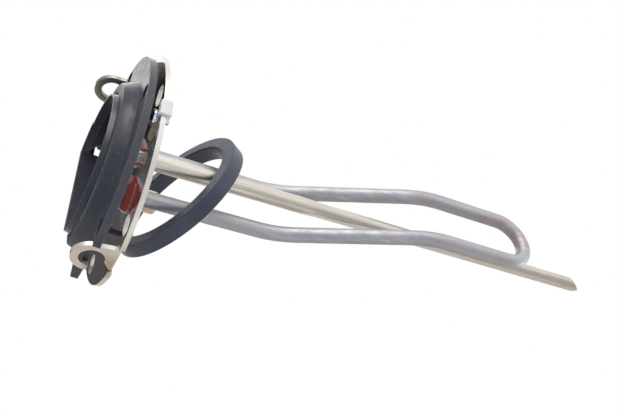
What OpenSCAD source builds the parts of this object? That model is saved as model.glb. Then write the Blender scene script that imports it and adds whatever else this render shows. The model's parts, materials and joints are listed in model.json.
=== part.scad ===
// Immersion heating element of a storage water heater.
// A round flange carries a bent tubular element, a sensor pocket, an anode bush and an earth clip.
// A black moulded shroud covers the terminals and a loose rubber gasket hangs round the tubes.
// Millimetres. The origin is on the flange axis in its tank face, and +Z points into the tank.

/* [Flange plate] */
// Diameter of the round plate
flange_d = 125; // [120:1:140]
// Thickness of the plate and of its hooks
flange_t = 2.5; // [1.5:0.25:4]
// Number of mounting bolts
bolt_count = 5; // [5:1:6]
// Diameter of a bolt hole
bolt_d = 11; // [7:0.5:11.5]
// Land left between a bolt hole and the rim of the plate
bolt_edge = 2.5; // [1.5:0.25:3.5]

/* [Hooks] */
// Reach of a hook beyond the tank face
hook_reach = 22.5; // [18:0.5:26]
// Width of a hook across its round end
hook_w = 19.4; // [18:0.2:21]
// Offset of the round end along the rim, from the middle of the hook's root towards -Y
hook_shift = 1.9; // [1:0.1:2.5]
// Diameter of the eye in a hook
hook_eye_d = 12.4; // [10:0.2:13]
// Distance from the rim of the plate in to the outer face of a hook
hook_inset = 1.5; // [1:0.25:3]
// Inside radius of the fold where a hook leaves the plate
hook_fold_r = 1.2; // [0.5:0.1:2]
// Width of the relief slit on each side of a fold
hook_relief = 0.8; // [0.5:0.1:1.5]

/* [Heating element] */
// Outside diameter of the metal sheath
sheath_d = 8.2; // [6.5:0.1:9]
// Wall of the sheath
sheath_wall = 0.8; // [0.5:0.1:1.2]
// Distance between the two legs
leg_pitch = 29.6; // [26:0.2:34]
// Middle of the two legs along X
leg_mid_x = -18.4; // [-20:0.1:-16]
// Place of the legs along Y
leg_y = 17.5; // [14:0.5:18]
// Straight rise of a leg from the tank face to its first bend
leg_rise = 65; // [55:1:90]
// Radius of the two bends in a leg
bend_r = 62.5; // [40:0.5:80]
// Straight run between the two bends of a leg
slant_run = 62; // [30:0.5:90]
// Straight run from the second bend to the hairpin end
tail_run = 41; // [10:0.5:70]
// Length of sheath standing out of the outer face
sheath_stub = 2.5; // [1:0.1:4]

/* [Inside the element] */
// Diameter of a terminal pin and of the coiled resistance wire
pin_d = 3; // [2:0.1:3.6]
// Depth that a terminal pin reaches into the tank, the unheated end
cold_end = 50; // [20:1:52]
// Thickness of the wound wire, as a sleeve
coil_wall = 0.5; // [0.3:0.1:0.8]
// Length of the ceramic bush in the mouth of the sheath
bush_l = 4; // [2:0.5:8]

/* [Terminals] */
// Length of a terminal pin that stands out of its seal
pin_bare = 3.5; // [3:0.25:4.5]
// Width of a terminal blade
blade_w = 6.3; // [4.8:0.1:6.8]
// Thickness of a terminal blade
blade_t = 0.8; // [0.5:0.1:1.2]
// Length of a terminal blade
blade_l = 7; // [6.5:0.5:8]
// Length of blade lapped on its pin
blade_lap = 2.5; // [2:0.25:2.75]
// Diameter of the foot of a red end seal
seal_d = 19; // [15:0.5:21]
// Height of a red end seal
seal_h = 6.5; // [5.5:0.25:7.5]
// Height of the straight lip at the foot of a seal
seal_lip = 0.6; // [0.4:0.1:1]

/* [Sensor pocket] */
// Place of the pocket along X
pocket_x = -18.3; // [-20:0.1:-16]
// Place of the pocket along Y
pocket_y = 28.7; // [28:0.1:31]
// Outside diameter of the round part of the pocket
pocket_d = 8.8; // [8:0.1:10]
// Wall of the pocket tube
pocket_wall = 0.6; // [0.4:0.1:1]
// Length of the round part beyond the tank face
pocket_round_l = 78; // [60:1:120]
// Length over which the round tube becomes flat sided
pocket_blend_l = 20; // [10:1:30]
// Distance from the tank face to the point of the pocket
pocket_l = 281.5; // [230:0.5:320]
// Width of the pressed part along its flats
pocket_flat_w = 9.6; // [9:0.1:10.4]
// Thickness across the two pressed flats
pocket_flat_t = 6.6; // [5:0.1:7.6]
// Direction that the flats face
pocket_flat_dir = 32.5; // [0:0.5:90]
// Length of the closed end of the pocket
pocket_end_l = 12; // [11:0.5:16]
// Angle between the slanted end and the axis
pocket_slant = 42; // [30:1:80]
// Direction of the longest side of the slanted end
pocket_slant_dir = 224.5; // [180:0.5:270]
// Length of the mouth beyond the outer face
pocket_mouth_l = 2.5; // [1.5:0.1:4]
// Diameter of the rolled lip of the mouth
pocket_lip_d = 10; // [9.2:0.1:11]

/* [Anode bush] */
// Place of the bush along X
anode_x = -18.3; // [-20:0.1:-16]
// Place of the bush along Y
anode_y = 0; // [-2:0.1:2]
// Outside diameter of the bush
anode_d = 12; // [9:0.5:14]
// Length of the bush on the tank side
anode_l = 16.5; // [12:0.5:20]
// Diameter of the spigot riveted in the plate
anode_spigot_d = 8; // [7:0.5:9]
// Diameter of the threaded hole
anode_thread_d = 5; // [4:0.5:6]
// Depth of the threaded hole
anode_thread_l = 12; // [8:0.5:14]

/* [Earth terminal] */
// Angle of the earth screw round the flange
earth_angle = 105.2; // [104:0.2:107]
// Distance of the earth screw in from the rim of the plate
earth_edge = 7.3; // [6.5:0.1:8.5]
// Thread diameter of the earth screw
earth_screw_d = 4; // [3:0.5:4.5]
// Diameter of the head of the earth screw
earth_head_d = 8; // [7:0.5:8.5]
// Height of the head of the earth screw
earth_head_h = 2.2; // [1.6:0.1:2.4]
// Length of the earth screw below its head
earth_screw_l = 7; // [6:0.5:9]
// Thickness of the earth tab
tab_t = 0.6; // [0.4:0.1:0.8]
// Length of the earth tab from the screw to its end
tab_l = 11; // [8:0.5:13]
// Width of the earth tab
tab_w = 6; // [5:0.5:7]
// Thickness of the washer under the screw head
washer_t = 0.8; // [0.5:0.1:1]
// Diameter of the washer
washer_d = 7.6; // [7:0.2:8.4]

/* [Rim clip] */
// Angle of the clip round the flange
clip_angle = 103.7; // [102.7:0.2:105]
// Width of the clip along the rim
clip_w = 8; // [6:0.2:9.6]
// Thickness of the leg on the outer face
clip_outer_t = 1.2; // [0.8:0.1:2]
// Thickness of the leg on the tank face
clip_inner_t = 2; // [1.4:0.1:4]
// Thickness of the web over the rim
clip_web_t = 1.6; // [1:0.1:3]
// Grip of the legs on the plate, in from the rim
clip_grip = 2.6; // [2:0.1:3]
// Radius of the outer corners of the clip
clip_corner_r = 1; // [0.5:0.1:1.2]

/* [Shroud] */
// Diameter of the disc of the shroud
shroud_d = 123; // [120:0.2:127]
// Thickness of the disc
shroud_t = 3.75; // [2.5:0.25:4.5]
// Width of the disc outside the collar
ledge_w = 13.7; // [13:0.1:16]
// Height of the collar from the face of the disc to the shoulder
collar_h = 6.5; // [5:0.1:9]
// Inward taper of the collar from its foot to its shoulder
collar_taper = 3.4; // [1:0.1:5]
// Width of the shoulder between the collar and the rim of the mouth
shoulder_w = 7.8; // [6:0.1:8.2]
// Height of the rim above the shoulder
rim_h = 2.8; // [1.5:0.1:4]
// Wall of the shroud
shroud_wall = 1.8; // [1.2:0.1:2.5]
// Distance from the middle of the disc to the flat side of the collar
flat_side = 22.5; // [20:0.1:26]
// Direction that the flat side faces
flat_side_dir = 263.6; // [260:0.1:270]
// Distance from the middle of the disc to the flat corner of the collar
flat_corner = 37.6; // [35:0.2:40]
// Direction that the flat corner faces
flat_corner_dir = 237; // [232:0.5:242]
// Angle by which the loose shroud leans from the plate
shroud_lean = 4; // [3:0.1:4.5]
// Direction in which the shroud leans closer to the plate
shroud_lean_dir = 28; // [0:1:90]
// Shift of the loose shroud along X
shroud_x = -3.6; // [-4.2:0.1:-2.4]
// Shift of the loose shroud along Y
shroud_y = -0.1; // [-1.5:0.1:1]
// Gap between the tank face and the outer face of the disc, on the axis
shroud_gap = 12.3; // [11.5:0.1:14]
// Diameter of a bolt hole in the disc
shroud_hole_d = 9; // [6:0.5:9.5]
// Land left between a bolt hole in the disc and its rim
shroud_hole_edge = 0.6; // [0.5:0.1:1.5]
// Room between the inner face of a hook and the slot in the disc, which lets the disc move along X
hook_room = 4.6; // [4.2:0.1:5.2]
// Room between the side of a hook and the end of that slot
hook_side_room = 3; // [2.8:0.1:4]
// Distance from the middle of the disc to the ends of its open side
shroud_open = 7; // [4:0.5:12]
// Width of the window at the foot of the flat side
window_w = 8; // [3:0.5:9]
// Height of the window above the face of the disc
window_h = 2.2; // [1.5:0.1:4]
// Diameter of a moulded foot under the disc
foot_d = 5; // [3:0.5:6]

/* [Gasket] */
// Outside diameter of the rubber gasket
gasket_d = 80.6; // [78:0.2:88]
// Radial width of the gasket
gasket_w = 8.7; // [6:0.1:9]
// Height of the gasket
gasket_h = 8; // [5:0.1:9]
// Width and depth of the step at the inner edge
gasket_step = 1.2; // [0.5:0.1:2]
// Angle by which the loose gasket leans from the plate
gasket_lean = 32; // [28:0.5:34]
// Direction in which the gasket comes down to the plate
gasket_lean_dir = 236.7; // [230:0.1:244]
// Middle of the gasket along X
gasket_x = -14.3; // [-16:0.1:-12]
// Middle of the gasket along Y
gasket_y = 8.9; // [6:0.1:11]

/* [Hidden] */
$fn = 64;
eps = 0.01;

outer_z = -flange_t;
bolt_pcd = flange_d - 2 * bolt_edge - bolt_d;
earth_r = flange_d / 2 - earth_edge;
hook_face = flange_d / 2 - hook_inset;
fold_out_r = hook_fold_r + flange_t;
near_x = leg_mid_x - leg_pitch / 2;
rear_x = leg_mid_x + leg_pitch / 2;
bore_d = sheath_d - 2 * sheath_wall;
seal_top_z = outer_z - seal_h;
pin_end_z = seal_top_z - pin_bare;
washer_z = outer_z - tab_t - washer_t;
// A bend turns by the angle of a right triangle with sides 44, 117 and 125, whose sine and cosine are
// exact, so that each bend ends where the next run starts
bend_sin = 44 / 125;
bend_cos = 117 / 125;
bend_angle = asin(bend_sin);
braze_w = 0.8;
// Distance by which a pressed flat of the pocket begins outside the round tube
ramp_lead = 0.3;
tab_dir = 140;
collar_r = shroud_d / 2 - ledge_w;
shoulder_r = collar_r - collar_taper;
rim_r = shoulder_r - shoulder_w;
rim_top_z = -collar_h - rim_h;
shroud_hole_r = shroud_d / 2 - shroud_hole_edge - shroud_hole_d / 2;
flat_half_w = sqrt(pow(collar_r, 2) - pow(flat_side, 2));
rim_wall = 1;
window_end = 0.3;
lug_dir = 326;
lug_w = 30;
lug_out = 4;
foot_dirs = [25, 340];

// Runs its children at each bolt of a circle
module at_bolts(pcd) {
    for (i = [0 : bolt_count - 1])
        rotate([0, 0, 90 + i * 360 / bolt_count])
            translate([pcd / 2, 0, 0])
                children();
}

// Flat outline of a hook: X is along the rim, Y is the distance beyond the tank face
module hook_outline() {
    r = hook_w / 2;
    eye_r = hook_eye_d / 2;
    mid = [hook_shift, hook_reach - r];
    difference() {
        union() {
            translate(mid) circle(r = r);
            polygon([[mid[0] - r - 0.6, -1], [mid[0] - r, mid[1] - 2], mid, [r, 0], [r, -1]]);
        }
        translate(mid - [0, 0.4]) circle(r = eye_r);
        polygon([mid, [mid[0], mid[1] - 0.5], [mid[0] + r + 1, mid[1] - 0.5], [r + 2, 0.5],
            [r - 0.4, 1.4], [r - 3, 3.2], [mid[0] + 1, mid[1] - eye_r - 0.6]]);
    }
}

// Strip that a hook is folded from: flat at the plate, then down along the hook
module hook_strip() {
    z_leg = -hook_reach - 1;
    translate([0, hook_w, 0]) rotate([90, 0, 0]) linear_extrude(2 * hook_w)
        union() {
            translate([hook_face - fold_out_r, -fold_out_r]) intersection() {
                difference() {
                    circle(r = fold_out_r);
                    circle(r = hook_fold_r);
                }
                square(fold_out_r);
            }
            translate([hook_face - flange_t, z_leg]) square([flange_t, -fold_out_r - z_leg]);
            translate([hook_face - fold_out_r - 2, -flange_t]) square([2, flange_t]);
        }
}

// One hook on the +X side, open towards -Y
module hook() {
    intersection() {
        hook_strip();
        rotate([0, 90, 0]) rotate([0, 0, -90]) linear_extrude(flange_d) hook_outline();
    }
}

module flange_plate() {
    notch_x = hook_face - fold_out_r;
    notch_w = hook_w - 1;
    color("#e3ddd0") difference() {
        union() {
            difference() {
                translate([0, 0, outer_z]) cylinder(d = flange_d, h = flange_t, $fn = 128);
                for (s = [-1, 1])
                    translate([s * (notch_x + flange_d / 2), -0.5, outer_z - 1])
                        translate([-flange_d / 2, -notch_w / 2 - hook_relief, 0])
                            cube([flange_d, notch_w + 2 * hook_relief, flange_t + 2]);
            }
            hook();
            mirror([1, 0, 0]) hook();
        }
        translate([0, 0, outer_z - 1]) {
            at_bolts(bolt_pcd) cylinder(d = bolt_d, h = flange_t + 2);
            for (x = [near_x, rear_x])
                translate([x, leg_y, 0]) cylinder(d = sheath_d, h = flange_t + 2);
            translate([pocket_x, pocket_y, 0]) cylinder(d = pocket_d, h = flange_t + 2);
            translate([anode_x, anode_y, 0]) cylinder(d = anode_spigot_d, h = flange_t + 2);
            at_earth() cylinder(d = earth_screw_d + 0.5, h = flange_t + 2);
        }
    }
}

// Runs its children at the earth screw, with +X pointing out along the radius
module at_earth() {
    rotate([0, 0, earth_angle]) translate([earth_r, 0, 0]) children();
}

// Bend of a round rod that starts at the origin along +Z and turns towards +Y
module bend(angle, r, rod_r) {
    translate([0, r, 0]) rotate([90, 0, -90]) rotate_extrude(angle = angle)
        translate([r, 0]) circle(r = rod_r, $fn = 32);
}

// Straight rod along +Z
module run(l, rod_r) {
    cylinder(r = rod_r, h = l, $fn = 32);
}

// Moves its children to the end of a bend in a leg
module after_bend() {
    translate([0, bend_r * (1 - bend_cos), bend_r * bend_sin]) rotate([-bend_angle, 0, 0]) children();
}

// Moves its children to the second bend of a leg, which turns the other way
module at_second_bend() {
    translate([0, 0, leg_rise]) after_bend() translate([0, 0, slant_run]) rotate([0, 0, 180]) children();
}

// One leg as a rod, from z0 up to the hairpin end
module leg(z0, rod_r) {
    translate([0, 0, z0]) run(leg_rise - z0, rod_r);
    translate([0, 0, leg_rise]) {
        bend(bend_angle, bend_r, rod_r);
        after_bend() run(slant_run, rod_r);
    }
    at_second_bend() {
        bend(bend_angle, bend_r, rod_r);
        after_bend() run(tail_run, rod_r);
    }
}

// Both legs and the hairpin bend as one rod
module hairpin_rod(z0, rod_r) {
    for (x = [near_x, rear_x])
        translate([x, leg_y, 0]) leg(z0, rod_r);
    translate([near_x, leg_y, 0]) at_second_bend() after_bend() translate([0, 0, tail_run])
        rotate([0, 0, 90]) bend(180, leg_pitch / 2, rod_r);
}

// Hairpin sleeve between two radii
module hairpin(z0, ro, ri) {
    difference() {
        hairpin_rod(z0, ro);
        hairpin_rod(z0 - 1, ri);
    }
}

// Ring section of a bush or washer
module ring(ro, ri) {
    difference() {
        circle(r = ro);
        circle(r = ri);
    }
}

module heater_sheath() {
    color("#8b8c94") hairpin(outer_z - sheath_stub, sheath_d / 2, bore_d / 2);
}

module magnesia_fill() {
    color("#e8e4da") hairpin(outer_z - sheath_stub + bush_l, bore_d / 2, pin_d / 2);
}

module resistance_coil() {
    color("#77706a") hairpin(cold_end, pin_d / 2, pin_d / 2 - coil_wall);
}

module terminal_pin(x) {
    translate([x, leg_y, pin_end_z]) cylinder(d = pin_d, h = cold_end - pin_end_z);
}

module terminal_pin_near() {
    color("#b9bcc0") terminal_pin(near_x);
}

module terminal_pin_rear() {
    color("#b9bcc0") terminal_pin(rear_x);
}

// Flat push-on blade lapped beside its pin, with a hole near the free end
module terminal_blade(x) {
    translate([x + pin_d / 2, leg_y, pin_end_z + blade_lap]) rotate([0, 90, 0])
        linear_extrude(blade_t) difference() {
            translate([0, -blade_w / 2]) square([blade_l, blade_w]);
            translate([blade_l - 2.5, 0]) circle(d = 1.6);
            for (s = [-1, 1])
                translate([blade_l, s * blade_w / 2]) rotate([0, 0, 45]) square(1.4, center = true);
        }
}

module terminal_blade_near() {
    color("#cfd2d4") terminal_blade(near_x);
}

module terminal_blade_rear() {
    color("#cfd2d4") terminal_blade(rear_x);
}

module ceramic_bush(x) {
    translate([x, leg_y, outer_z - sheath_stub]) linear_extrude(bush_l)
        ring(bore_d / 2, pin_d / 2);
}

module ceramic_bush_near() {
    color("#f0ece2") ceramic_bush(near_x);
}

module ceramic_bush_rear() {
    color("#f0ece2") ceramic_bush(rear_x);
}

// Domed resin seal cast round the end of a leg
module end_seal(x) {
    cap_h = seal_h - seal_lip;
    cap_r = (pow(seal_d / 2, 2) + pow(cap_h, 2)) / (2 * cap_h);
    translate([x, leg_y, outer_z]) mirror([0, 0, 1]) rotate_extrude($fn = 96)
        difference() {
            union() {
                square([seal_d / 2, seal_lip]);
                intersection() {
                    translate([0, seal_h - cap_r]) circle(r = cap_r, $fn = 96);
                    translate([0, seal_lip]) square([seal_d / 2, seal_h]);
                }
            }
            translate([-1, -1]) square([sheath_d / 2 + 1, sheath_stub + 1]);
            translate([-1, -1]) square([pin_d / 2 + 1, seal_h + 2]);
        }
}

module end_seal_near() {
    color("#c23a34") end_seal(near_x);
}

module end_seal_rear() {
    color("#c23a34") end_seal(rear_x);
}

// Fillet of brazing metal round a tube on the tank face
module braze(x, y, d) {
    translate([x, y, 0]) rotate_extrude()
        polygon([[d / 2, 0], [d / 2 + braze_w, 0], [d / 2, braze_w]]);
}

module leg_braze_near() {
    color("#b9ad94") braze(near_x, leg_y, sheath_d);
}

module leg_braze_rear() {
    color("#b9ad94") braze(rear_x, leg_y, sheath_d);
}

module pocket_braze() {
    color("#b9ad94") braze(pocket_x, pocket_y, pocket_d);
}

// Outer or inner form of the pocket, made smaller all round by inset: round, then pressed wider and flat
module pocket_form(inset, z0, z1) {
    round_r = pocket_d / 2 - inset;
    wide_r = pocket_flat_w / 2 - inset;
    flat_z = pocket_round_l + pocket_blend_l;
    wide_z = flat_z - pocket_blend_l / 5;
    ramp = atan(((pocket_d - pocket_flat_t) / 2 + ramp_lead) / pocket_blend_l);
    difference() {
        rotate_extrude()
            polygon([[0, z0], [round_r, z0], [round_r, pocket_round_l], [wide_r, wide_z],
                [wide_r, z1], [0, z1]]);
        for (a = [0, 180])
            rotate([0, 0, pocket_flat_dir + a])
                translate([pocket_flat_t / 2 - inset, -pocket_d, flat_z]) {
                    cube([pocket_d, 2 * pocket_d, pocket_l]);
                    rotate([0, -ramp, 0]) mirror([0, 0, 1])
                        cube([pocket_d, 2 * pocket_d, 2 * pocket_blend_l]);
                }
    }
}

module pocket_tube() {
    color("#cfc6b4") translate([pocket_x, pocket_y, 0]) difference() {
        union() {
            pocket_form(0, outer_z - pocket_mouth_l, pocket_l);
            translate([0, 0, outer_z - pocket_mouth_l]) cylinder(d = pocket_lip_d, h = 1);
        }
        pocket_form(pocket_wall, outer_z - pocket_mouth_l - 1, pocket_l - pocket_end_l);
        rotate([0, 0, pocket_slant_dir]) translate([pocket_flat_t / 2, 0, pocket_l])
            rotate([0, pocket_slant - 90, 0]) translate([-3 * pocket_d, -2 * pocket_d, 0])
                cube([6 * pocket_d, 4 * pocket_d, 4 * pocket_d]);
    }
}

module anode_bush() {
    edge = 1.5;
    color("#e6c9ae") translate([anode_x, anode_y, 0]) difference() {
        union() {
            rotate_extrude() union() {
                square([anode_d / 2, anode_l - edge]);
                square([anode_d / 2 - edge, anode_l]);
                translate([anode_d / 2 - edge, anode_l - edge]) circle(r = edge);
            }
            translate([0, 0, outer_z]) cylinder(d = anode_spigot_d, h = flange_t + 1);
        }
        translate([0, 0, anode_l - anode_thread_l]) cylinder(d = anode_thread_d, h = anode_thread_l + 1);
    }
}

// Block outline of the clip, seen along the rim, with its two outer corners rounded
module clip_outline() {
    h = clip_outer_t + flange_t + clip_inner_t;
    l = clip_grip + clip_web_t;
    r = clip_corner_r;
    translate([-clip_grip, outer_z - clip_outer_t]) {
        square([l - r, h]);
        translate([0, r]) square([l, h - 2 * r]);
        for (y = [r, h - r])
            translate([l - r, y]) circle(r = r);
    }
}

// Clip pushed over the rim of the plate
module rim_clip() {
    color("#e9e7ee") rotate([0, 0, clip_angle]) difference() {
        translate([flange_d / 2, clip_w / 2, 0]) rotate([90, 0, 0])
            linear_extrude(clip_w) clip_outline();
        translate([0, 0, outer_z]) cylinder(d = flange_d, h = flange_t, $fn = 128);
    }
}

// Flat tongue under the washer of the earth screw
module earth_tab() {
    color("#b99b6b") at_earth() translate([0, 0, outer_z - tab_t])
        linear_extrude(tab_t) difference() {
            union() {
                circle(d = tab_w);
                rotate([0, 0, tab_dir]) translate([0, -tab_w / 2]) square([tab_l, tab_w]);
            }
            circle(d = earth_screw_d);
        }
}

module earth_washer() {
    color("#c3c6cc") at_earth() translate([0, 0, washer_z])
        linear_extrude(washer_t) ring(washer_d / 2, earth_screw_d / 2);
}

// Pan head screw with a cross recess
module earth_screw() {
    color("#b7c3dc") at_earth() difference() {
        union() {
            translate([0, 0, washer_z]) cylinder(d = earth_screw_d, h = earth_screw_l);
            translate([0, 0, washer_z]) mirror([0, 0, 1]) rotate_extrude() union() {
                square([earth_head_d / 2, earth_head_h * 0.5]);
                intersection() {
                    translate([0, earth_head_h - earth_head_d]) circle(r = earth_head_d);
                    square([earth_head_d / 2, earth_head_h]);
                }
            }
        }
        for (a = [0, 90])
            translate([0, 0, washer_z - earth_head_h]) rotate([0, 0, a])
                cube([earth_head_d * 0.55, 0.9, 1.2 * earth_head_h], center = true);
    }
}

// Moves its children to the leaning frame of the shroud: z = 0 is the outer face of the disc
module at_shroud() {
    translate([shroud_x, shroud_y, -shroud_gap]) rotate([0, 0, shroud_lean_dir])
        rotate([0, -shroud_lean, 0]) rotate([0, 0, -shroud_lean_dir]) children();
}

// Half section of the outer form of the collar, with -Y pointing away from the plate
module collar_section() {
    edge = 0.6;
    polygon([[0, shroud_t], [collar_r, shroud_t], [collar_r, 0], [shoulder_r, edge - collar_h], [shoulder_r - edge, -collar_h],
        [rim_r + 2.2, -collar_h - edge], [rim_r + 1.8, 0.2 - collar_h], [rim_r + 1.2, -collar_h - 0.4],
        [rim_r + edge, rim_top_z], [0, rim_top_z]]);
}

// Half section of the room inside the collar
module collar_room_section() {
    polygon([[0, shroud_t + 1], [collar_r - shroud_wall, shroud_t + 1], [collar_r - shroud_wall, 0],
        [shoulder_r - shroud_wall, shroud_wall - collar_h], [rim_r + 0.6 - rim_wall, shroud_wall - collar_h],
        [rim_r + 0.6 - rim_wall, rim_top_z - 1], [0, rim_top_z - 1]]);
}

// Bounds its children by the flat side and the flat corner, moved in by inset
module flat_bounds(inset) {
    intersection() {
        children();
        flat_block(flat_side_dir, flat_side - inset);
        flat_block(flat_corner_dir, flat_corner - inset);
    }
}

// Block that ends in a flat face at a distance from the axis of the disc
module flat_block(dir, dist) {
    rotate([0, 0, dir]) translate([dist - 2 * shroud_d, -shroud_d, -shroud_d])
        cube(2 * shroud_d);
}

// Lug of the rim at the end of the flat side, as a solid made smaller all round by inset
module rim_lug(inset, z0, z1) {
    intersection() {
        translate([0, 0, z0]) cylinder(r = rim_r + lug_out - inset, h = z1 - z0, $fn = 128);
        rotate([0, 0, lug_dir]) translate([rim_r / 2, inset - lug_w / 2, z0])
            cube([rim_r, lug_w - 2 * inset, z1 - z0]);
    }
}

// Feet that stand square on the plate, under the wall of the collar, and end inside the leaning shroud
module shroud_feet() {
    difference() {
        translate([shroud_x, shroud_y, outer_z - shroud_gap]) {
            for (a = foot_dirs)
                rotate([0, 0, a]) translate([collar_r - shroud_wall / 2, 0, 0]) foot();
            rotate([0, 0, flat_side_dir]) translate([flat_side - shroud_wall / 2, -flat_half_w / 2, 0]) foot();
        }
        at_shroud() translate([-shroud_d, -shroud_d, shroud_t / 2 - shroud_d])
            cube([2 * shroud_d, 2 * shroud_d, shroud_d]);
    }
}

module foot() {
    cylinder(d = foot_d, h = shroud_gap);
}

// Room cut from the disc: bolt holes, and the open side with the slots for the hooks
module disc_cuts() {
    slot_x = hook_face - flange_t - hook_room;
    slot_y = hook_w / 2 + hook_side_room - hook_shift;
    for (i = [0 : bolt_count - 1])
        rotate(90 + i * 360 / bolt_count) translate([shroud_hole_r, 0]) circle(d = shroud_hole_d);
    for (s = [-1, 1])
        polygon([[0, -shroud_open], [s * collar_r, -shroud_open], [s * slot_x, slot_y / 2],
            [s * slot_x, slot_y], [s * shroud_d, slot_y], [s * shroud_d, -shroud_d], [0, -shroud_d]]);
}

module shroud() {
    color("#24262e") {
        at_shroud() difference() {
            union() {
                linear_extrude(shroud_t) difference() {
                    circle(d = shroud_d, $fn = 128);
                    disc_cuts();
                }
                flat_bounds(0) union() {
                    rotate_extrude($fn = 128) collar_section();
                    rim_lug(0, rim_top_z, -collar_h + 1);
                }
            }
            flat_bounds(shroud_wall) union() {
                rotate_extrude($fn = 128) collar_room_section();
                rim_lug(rim_wall, rim_top_z - 1, 0);
            }
            rotate([0, 0, flat_side_dir])
                translate([flat_side - shroud_wall - 1, flat_half_w - window_end - window_w, -window_h])
                    cube([shroud_wall + 2, window_w, window_h + shroud_t + 1]);
        }
        shroud_feet();
    }
}

// Moves its children to the leaning frame of the gasket: z = 0 is the face towards the plate
module at_gasket() {
    translate([gasket_x, gasket_y, gasket_d / 2 * sin(gasket_lean)])
        rotate([0, 0, gasket_lean_dir]) rotate([0, gasket_lean, 0]) children();
}

module gasket() {
    ro = gasket_d / 2;
    ri = ro - gasket_w;
    color("#2b2d38") at_gasket() rotate_extrude($fn = 128)
        polygon([[ri + gasket_step, 0], [ro, 0], [ro, gasket_h], [ri, gasket_h],
            [ri, gasket_step], [ri + gasket_step, gasket_step]]);
}

flange_plate();
shroud();
heater_sheath();
magnesia_fill();
resistance_coil();
terminal_pin_near();
terminal_pin_rear();
terminal_blade_near();
terminal_blade_rear();
ceramic_bush_near();
ceramic_bush_rear();
end_seal_near();
end_seal_rear();
leg_braze_near();
leg_braze_rear();
pocket_tube();
pocket_braze();
anode_bush();
rim_clip();
earth_tab();
earth_washer();
earth_screw();
gasket();
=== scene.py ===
# Looks of a water heater element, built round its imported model. Metres.
# The row frame has +Z along the tubes and its origin on the flange axis, in the tank face.
import json
import math

import bmesh
import bpy
from mathutils import Matrix, Vector


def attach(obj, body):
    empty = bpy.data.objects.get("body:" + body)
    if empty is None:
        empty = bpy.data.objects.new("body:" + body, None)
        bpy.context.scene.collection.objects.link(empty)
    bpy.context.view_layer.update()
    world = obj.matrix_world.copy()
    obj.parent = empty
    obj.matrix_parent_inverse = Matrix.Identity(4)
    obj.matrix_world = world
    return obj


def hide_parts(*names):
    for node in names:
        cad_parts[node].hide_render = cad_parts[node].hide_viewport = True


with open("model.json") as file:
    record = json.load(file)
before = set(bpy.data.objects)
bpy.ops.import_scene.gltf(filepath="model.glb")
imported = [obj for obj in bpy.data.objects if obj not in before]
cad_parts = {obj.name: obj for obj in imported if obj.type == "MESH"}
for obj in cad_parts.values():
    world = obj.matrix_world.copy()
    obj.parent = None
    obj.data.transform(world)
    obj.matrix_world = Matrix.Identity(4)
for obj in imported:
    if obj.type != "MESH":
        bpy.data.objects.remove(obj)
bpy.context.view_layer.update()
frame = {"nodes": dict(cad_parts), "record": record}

MM = 0.001
SLOTS = {part["node"]: part["material_slot"] for part in frame["record"]["subparts"]}

# Camera, fitted to the photograph
CAMERA_PLACE = Vector((-0.297058, 0.302143, -0.079724))
CAMERA_RIGHT = Vector((-0.078377, 0.471621, 0.878281))
CAMERA_UP = Vector((0.751282, 0.606899, -0.258910))
SENSOR_MM = 36
LENS_MM = 46.45

# Direction that was up when the object lay on its table
TABLE_UP = Vector((0.50, 0.78, -0.37)).normalized()
OBJECT_MIDDLE = Vector((0, 0, 0.13))
FLANGE_MIDDLE = Vector((0, 0, 0))
FLOOR_Z = -0.75
FLOOR_SIZE = 8

# Square lamps round the middle of the object: direction, distance, size, power and tint
LAMPS = {
    "key": (TABLE_UP, 1.2, 0.9, 6.4, (1.0, 0.985, 0.96)),
    "top": (Vector((-0.35, 0.1, 1)), 1.3, 1.0, 3.0, (1.0, 1.0, 1.0)),
    "far": (Vector((0.86, -0.50, -0.06)), 1.1, 0.6, 0.85, (1.0, 0.96, 0.92)),
}
EVEN_LIGHT_TINT = (0.95, 0.97, 1.0, 1)
EVEN_LIGHT = 0.5

# Cards that only reflections show: what they stand round, direction, distance, size and colour
CARD_ROUGHNESS = 0.9
CARDS = {
    "card_behind_camera": (FLANGE_MIDDLE, (-0.66, 0.42, -0.62), 0.5, 0.84, (0.46, 0.54, 0.72)),
    "card_beyond_flange": (FLANGE_MIDDLE, (0.60, -0.77, -0.20), 0.9, 0.34, (0.10, 0.10, 0.10)),
    "card_table": (OBJECT_MIDDLE, (-0.50, -0.78, 0.37), 0.35, 0.80, (0.84, 0.79, 0.74)),
    "card_room": (OBJECT_MIDDLE, (-0.62, 0.50, 0.60), 0.80, 0.80, (0.62, 0.61, 0.60)),
}

# The loose shroud: its place and lean on the plate, and the arms of its disc beside the hooks,
# with their outline and edges in millimetres
SHROUD_PLACE = Vector((-3.6, -0.1, -12.3)) * MM
SHROUD_LEAN = math.radians(4)
SHROUD_LEAN_SIDE = math.radians(28)
DISC_T = 3.75
DISC_ARM = [(-53.9, 5.6), (-53.9, -24.5), (-52.4, -26.5), (-43, -26.5), (-43, -7), (-47.6, -6.9)]
DISC_ARM_INSET = 0.05
DISC_ARM_EDGE = 0.4

# How far the sharp edges of a node are rounded, in millimetres
EDGE_ROUNDING = {"flange_plate": 0.30, "shroud": 0.45, "gasket": 0.50, "rim_clip": 0.30}
SHARP_ANGLE = math.radians(32)
EDGE_SEGMENTS = 2
MERGE_DISTANCE = 0.001
FLAT_ANGLE = math.radians(0.3)

# Places on the object that a finish depends on
HEAT_TINT_START_Z = 0.11
ELEMENT_BEND_Z = 0.195
POCKET_TIP_Z = 0.235
POCKET_END_Z = 0.29
HOOK_STAIN_AT = Vector((-0.0610, -0.0060, -0.0050))
HOOK_STAIN_REACH = 0.012
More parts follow.
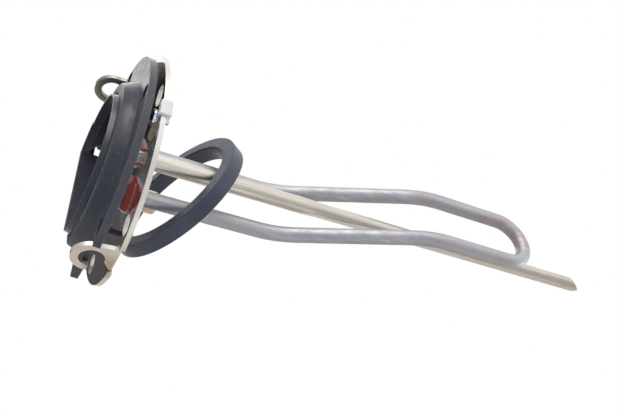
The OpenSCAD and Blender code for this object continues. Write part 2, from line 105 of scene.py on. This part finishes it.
# Painted shade: round this place the far hook's plating is painted darker, standing in for the
# dark gap it reflects
FAR_HOOK_PAINTED_SHADE_AT = Vector((0.0597, -0.0019, -0.0130))
FAR_HOOK_PAINTED_SHADE_REACH = 0.019
# Painted highlight: how far from a sharp edge the black plastic is painted lighter, in
# millimetres
PAINTED_EDGE_HIGHLIGHT = 0.7


def make_camera():
    data = bpy.data.cameras.new("photo_camera")
    data.sensor_width = SENSOR_MM
    data.lens = LENS_MM
    data.clip_start = 0.01
    camera = bpy.data.objects.new("photo_camera", data)
    bpy.context.scene.collection.objects.link(camera)
    back = CAMERA_RIGHT.cross(CAMERA_UP)
    turn = Matrix((CAMERA_RIGHT, CAMERA_UP, back)).transposed().to_4x4()
    camera.matrix_world = Matrix.Translation(CAMERA_PLACE) @ turn
    bpy.context.scene.camera = camera


class Nodes:
    """Short way to add and link shader nodes in one tree."""

    def __init__(self, tree):
        self.tree = tree
        tree.nodes.clear()

    def add(self, kind, inputs=None, **settings):
        node = self.tree.nodes.new("ShaderNode" + kind)
        for name, value in settings.items():
            setattr(node, name, value)
        for name, value in (inputs or {}).items():
            self.set(node.inputs[name], value)
        return node

    def set(self, socket, value):
        if isinstance(value, bpy.types.NodeSocket):
            self.tree.links.new(value, socket)
        else:
            socket.default_value = value

    def ramp(self, factor, stops):
        node = self.add("ValToRGB", {"Fac": factor})
        ramp = node.color_ramp
        while len(ramp.elements) < len(stops):
            ramp.elements.new(1)
        for element, (place, colour) in zip(ramp.elements, stops):
            element.position = place
            element.color = (*colour, 1)
        return node.outputs["Color"]

    def map(self, value, low, high, to_low, to_high):
        node = self.add("MapRange", {"Value": value, "From Min": low, "From Max": high,
                                     "To Min": to_low, "To Max": to_high})
        return node.outputs["Result"]

    def maths(self, operation, a, b=0.0):
        node = self.add("Math", operation=operation)
        self.set(node.inputs[0], a)
        self.set(node.inputs[1], b)
        return node.outputs["Value"]

    def mix(self, factor, a, b):
        node = self.add("Mix", data_type="RGBA")
        self.set(node.inputs["Factor"], factor)
        self.set(node.inputs[6], a)
        self.set(node.inputs[7], b)
        return node.outputs[2]

    def object_place(self):
        return self.add("TexCoord").outputs["Object"]

    def noise(self, scale, detail=3.0, stretch=(1, 1, 1)):
        place = self.add("Mapping", {"Vector": self.object_place(), "Scale": stretch})
        noise = self.add("TexNoise", {"Vector": place.outputs["Vector"], "Scale": scale,
                                      "Detail": detail})
        return noise.outputs["Fac"]

    def along(self, axis):
        split = self.add("SeparateXYZ", {"Vector": self.object_place()})
        return split.outputs[axis]

    def normal_z(self):
        normal = self.add("NewGeometry").outputs["Normal"]
        return self.add("SeparateXYZ", {"Vector": normal}).outputs["Z"]

    def near(self, place, reach):
        """1 at a place of the object, 0 at the reach and beyond."""
        gap = self.add("VectorMath", operation="DISTANCE")
        self.set(gap.inputs[0], self.object_place())
        gap.inputs[1].default_value = place
        return self.map(gap.outputs["Value"], 0, reach, 1, 0)

    def edges(self, reach):
        """1 on a sharp edge, 0 on the flat."""
        rounded_normal = self.add("Bevel", {"Radius": reach}, samples=4).outputs["Normal"]
        true_normal = self.add("NewGeometry").outputs["Normal"]
        dot = self.add("VectorMath", operation="DOT_PRODUCT")
        self.set(dot.inputs[0], rounded_normal)
        self.set(dot.inputs[1], true_normal)
        return self.map(dot.outputs["Value"], 0.985, 0.85, 0, 1)

    def bump(self, height, strength, distance):
        node = self.add("Bump", {"Height": height, "Strength": strength, "Distance": distance})
        return node.outputs["Normal"]


def material(name, build):
    made = bpy.data.materials.new(name)
    made.use_nodes = True
    nodes = Nodes(made.node_tree)
    shader = nodes.add("BsdfPrincipled", build(nodes))
    out = nodes.add("OutputMaterial")
    nodes.tree.links.new(shader.outputs["BSDF"], out.inputs["Surface"])
    return made


def colour(r, g, b):
    return (r, g, b, 1)


def plated_steel(n):
    """Cream zinc plating, mirror-like on the outer face and satin elsewhere, with painted shade
    darkening the far hook.
    """
    cloud = n.noise(60)
    base = n.ramp(cloud, [(0.35, (0.75, 0.70, 0.64)), (0.65, (0.86, 0.82, 0.77))])
    stain_cloud = n.map(n.noise(170), 0.3, 0.6, 0.3, 2.0)
    stain = n.maths("MULTIPLY", n.near(HOOK_STAIN_AT, HOOK_STAIN_REACH), stain_cloud)
    base = n.mix(n.maths("MINIMUM", stain, 0.75), base, colour(0.50, 0.35, 0.23))
    # Painted shade: the far hook is darkened, standing in for the dark gap it reflects
    shade = n.maths("MULTIPLY", n.near(FAR_HOOK_PAINTED_SHADE_AT, FAR_HOOK_PAINTED_SHADE_REACH), 1.6)
    base = n.mix(shade, base, colour(0.27, 0.255, 0.215))
    rough = n.map(n.normal_z(), -0.99, -0.8, 0.09, 0.36)
    return {"Base Color": base, "Metallic": 1.0, "Roughness": rough,
            "Normal": n.bump(n.noise(900, 2), 0.05, 0.0002)}


def black_plastic(n):
    """Satin moulding with a bluish sheen, painted highlights on its sharp edges and a little
    dust.
    """
    # Painted highlight: the sharp edges are painted lighter, standing in for the light they catch
    base = n.mix(n.edges(PAINTED_EDGE_HIGHLIGHT * MM), colour(0.038, 0.041, 0.056), colour(0.15, 0.16, 0.18))
    dust = n.map(n.noise(1700, 1), 0.735, 0.765, 0, 1)
    base = n.mix(dust, base, colour(0.34, 0.35, 0.38))
    rough = n.map(n.noise(90), 0.3, 0.7, 0.24, 0.34)
    return {"Base Color": base, "Roughness": rough, "Specular IOR Level": 0.75,
            "Normal": n.bump(n.noise(500, 3), 0.03, 0.0002)}


def sheath_steel(n):
    """Grey drawn sheath with lengthwise streaks and rose heat tints towards the hairpin."""
    streak = n.noise(420, 2, stretch=(1, 1, 0.04))
    base = n.ramp(streak, [(0.3, (0.42, 0.42, 0.45)), (0.7, (0.53, 0.53, 0.56))])
    patch = n.map(n.noise(55), 0.45, 0.7, 0, 1)
    heat = n.map(n.along("Z"), HEAT_TINT_START_Z, ELEMENT_BEND_Z, 0.15, 0.75)
    base = n.mix(n.maths("MULTIPLY", patch, heat), base, colour(0.50, 0.39, 0.39))
    speck = n.map(n.noise(1500, 2), 0.66, 0.72, 0, 0.8)
    base = n.mix(speck, base, colour(0.92, 0.88, 0.87))
    rough = n.map(streak, 0.3, 0.7, 0.56, 0.46)
    return {"Base Color": base, "Metallic": 1.0, "Roughness": rough}


def pocket_steel(n):
    """Bright warm tube with fine drawn lines, browner at its tip."""
    streak = n.noise(1400, 2, stretch=(1, 1, 0.02))
    base = n.ramp(streak, [(0.3, (0.60, 0.55, 0.48)), (0.7, (0.80, 0.76, 0.70))])
    tip = n.map(n.along("Z"), POCKET_TIP_Z, POCKET_END_Z, 0, 0.7)
    base = n.mix(n.maths("MULTIPLY", tip, n.map(n.noise(70), 0.35, 0.65, 0.2, 1)), base,
                 colour(0.55, 0.42, 0.29))
    return {"Base Color": base, "Metallic": 1.0, "Roughness": n.map(streak, 0.3, 0.7, 0.38, 0.28)}


def black_rubber(n):
    """Moulded rubber with a blue-grey cast, slightly worn."""
    base = n.ramp(n.noise(45), [(0.35, (0.028, 0.036, 0.070)), (0.7, (0.046, 0.055, 0.100))])
    return {"Base Color": base, "Roughness": n.map(n.noise(200), 0.3, 0.7, 0.34, 0.46),
            "Specular IOR Level": 0.75, "Normal": n.bump(n.noise(700, 3), 0.08, 0.0003)}


def red_seal(n):
    """Glossy cast resin with a wavy skin."""
    base = n.ramp(n.noise(160), [(0.3, (0.86, 0.120, 0.105)), (0.7, (0.95, 0.240, 0.210))])
    return {"Base Color": base, "Roughness": 0.16, "Coat Weight": 1.0, "Coat Roughness": 0.08,
            "Normal": n.bump(n.noise(240, 2), 0.5, 0.0012)}


def bush_steel(n):
    """Copper-tinted turned bush with fine tool marks round it."""
    marks = n.noise(900, 1, stretch=(0.02, 0.02, 1))
    base = n.ramp(marks, [(0.3, (0.66, 0.48, 0.35)), (0.7, (0.80, 0.64, 0.50))])
    return {"Base Color": base, "Metallic": 1.0, "Roughness": 0.33}


def blue_zinc(n):
    """Bright bluish plating with a hammered sparkle."""
    base = n.ramp(n.noise(900), [(0.4, (0.46, 0.56, 0.76)), (0.6, (0.90, 0.93, 0.97))])
    return {"Base Color": base, "Metallic": 1.0, "Roughness": 0.2,
            "Normal": n.bump(n.noise(700, 1), 0.5, 0.0006)}


def plain(r, g, b, roughness, metallic=0.0):
    """Finish of one colour, with a faint cloud in its roughness."""
    def build(n):
        return {"Base Color": colour(r, g, b), "Metallic": metallic,
                "Roughness": n.map(n.noise(300), 0.3, 0.7, roughness - 0.05, roughness + 0.05)}
    return build


FINISHES = {
    "plated_steel": plated_steel,
    "black_plastic": black_plastic,
    "sheath_steel": sheath_steel,
    "magnesia": plain(0.85, 0.83, 0.78, 0.9),
    "resistance_wire": plain(0.35, 0.33, 0.31, 0.45, 1.0),
    "terminal_steel": plain(0.72, 0.72, 0.72, 0.25, 1.0),
    "white_ceramic": plain(0.88, 0.86, 0.80, 0.6),
    "red_seal": red_seal,
    "braze": plain(0.66, 0.58, 0.44, 0.4, 1.0),
    "pocket_steel": pocket_steel,
    "bush_steel": bush_steel,
    "clip_white": plain(0.97, 0.96, 0.985, 0.35),
    "blue_zinc": blue_zinc,
    "tab_brass": plain(0.62, 0.48, 0.28, 0.4, 1.0),
    "black_rubber": black_rubber,
}
MATERIALS = {name: material(name, build) for name, build in FINISHES.items()}


def dress_nodes():
    for node, piece in frame["nodes"].items():
        piece.data.materials.clear()
        piece.data.materials.append(MATERIALS[SLOTS[node]])


def add_piece(name, mesh, slot, *nodes):
    """A piece of the object that rides its one body and may stand for CAD nodes."""
    piece = bpy.data.objects.new(name, mesh)
    bpy.context.scene.collection.objects.link(piece)
    mesh.materials.clear()
    mesh.materials.append(MATERIALS[slot])
    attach(piece, "root")
    if nodes:
        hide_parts(*nodes)
    return piece


def bevel_edges(piece, width):
    """Round the sharp edges of a piece and give back the modifier that does it."""
    bevel = piece.modifiers.new("edges", "BEVEL")
    bevel.width = width
    bevel.segments = EDGE_SEGMENTS
    bevel.limit_method = "ANGLE"
    return bevel


def rounded(node, width):
    """Copy of a CAD node with its sharp edges rounded, which stands for the node."""
    mesh = frame["nodes"][node].data.copy()
    shape = bmesh.new()
    shape.from_mesh(mesh)
    bmesh.ops.remove_doubles(shape, verts=shape.verts, dist=MERGE_DISTANCE * MM)
    bmesh.ops.dissolve_limit(shape, angle_limit=FLAT_ANGLE, verts=shape.verts, edges=shape.edges)
    shape.to_mesh(mesh)
    shape.free()
    piece = add_piece(node + "_rounded", mesh, SLOTS[node], node)
    bevel = bevel_edges(piece, width)
    bevel.angle_limit = SHARP_ANGLE
    bevel.harden_normals = True
    mesh.shade_smooth()
    mesh.set_sharp_from_angle(angle=SHARP_ANGLE)


def prism(name, outline, low, high, place):
    """Mesh of an outline in millimetres, drawn up from low to high and put in its place."""
    count = len(outline)
    ends = [place @ (Vector((x, y, z)) * MM) for z in (low, high) for x, y in outline]
    faces = [list(range(count)), list(range(count, 2 * count))[::-1]]
    faces += [[i, i + count, (i + 1) % count + count, (i + 1) % count] for i in range(count)]
    mesh = bpy.data.meshes.new(name)
    mesh.from_pydata(ends, [], faces)
    shape = bmesh.new()
    shape.from_mesh(mesh)
    bmesh.ops.recalc_face_normals(shape, faces=shape.faces)
    shape.to_mesh(mesh)
    shape.free()
    return mesh


def make_disc_arms():
    """Ends of the disc between the collar and each hook, where its open side stops."""
    turn = (Matrix.Rotation(SHROUD_LEAN_SIDE, 4, "Z") @ Matrix.Rotation(-SHROUD_LEAN, 4, "Y")
            @ Matrix.Rotation(-SHROUD_LEAN_SIDE, 4, "Z"))
    place = Matrix.Translation(SHROUD_PLACE) @ turn
    for name, side in (("disc_arm_near", 1), ("disc_arm_far", -1)):
        outline = [(side * x, y) for x, y in DISC_ARM]
        mesh = prism(name, outline, DISC_ARM_INSET, DISC_T - DISC_ARM_INSET, place)
        bevel_edges(add_piece(name, mesh, "black_plastic"), DISC_ARM_EDGE * MM)


def make_pieces():
    for node, width in EDGE_ROUNDING.items():
        rounded(node, width * MM)
    make_disc_arms()


def make_world():
    """White behind the object and in its reflections, and even light for the rest."""
    world = bpy.data.worlds.new("room")
    bpy.context.scene.world = world
    world.use_nodes = True
    n = Nodes(world.node_tree)
    rays = n.add("LightPath")
    seen = n.maths("MAXIMUM", rays.outputs["Is Camera Ray"], rays.outputs["Is Glossy Ray"])
    seen = n.maths("MAXIMUM", seen, rays.outputs["Is Transmission Ray"])
    even = n.add("Background", {"Color": EVEN_LIGHT_TINT, "Strength": EVEN_LIGHT})
    white = n.add("Background", {"Color": colour(1, 1, 1), "Strength": 1.0})
    both = n.add("MixShader", {"Fac": seen})
    n.tree.links.new(even.outputs[0], both.inputs[1])
    n.tree.links.new(white.outputs[0], both.inputs[2])
    out = n.add("OutputWorld")
    n.tree.links.new(both.outputs[0], out.inputs["Surface"])


def area_light(name, direction, distance, size, power, tint):
    data = bpy.data.lights.new(name, "AREA")
    data.size = size
    data.energy = power
    data.color = tint
    light = bpy.data.objects.new(name, data)
    bpy.context.scene.collection.objects.link(light)
    light.location = OBJECT_MIDDLE + direction.normalized() * distance
    light.rotation_euler = direction.to_track_quat("Z", "Y").to_euler()


def make_lights():
    for name, lamp in LAMPS.items():
        area_light(name, *lamp)


def make_floor():
    bpy.ops.mesh.primitive_plane_add(size=FLOOR_SIZE, location=(0, 0, FLOOR_Z))
    floor = bpy.context.object
    floor.name = "floor"
    floor.data.materials.append(material("floor", plain(0.86, 0.86, 0.86, 0.7)))


def make_cards():
    """Cards round the set, which only the reflections show."""
    for name, (middle, side, distance, size, tint) in CARDS.items():
        side = Vector(side).normalized()
        bpy.ops.mesh.primitive_plane_add(size=size)
        card = bpy.context.object
        card.name = name
        card.location = middle + side * distance
        card.rotation_euler = side.to_track_quat("Z", "Y").to_euler()
        card.data.materials.append(material(name, plain(*tint, CARD_ROUGHNESS)))
        card.visible_camera = False
        card.visible_diffuse = False
        card.visible_shadow = False


bpy.context.scene.view_settings.view_transform = "Standard"
make_camera()
dress_nodes()
make_pieces()
make_world()
make_lights()
make_floor()
make_cards()
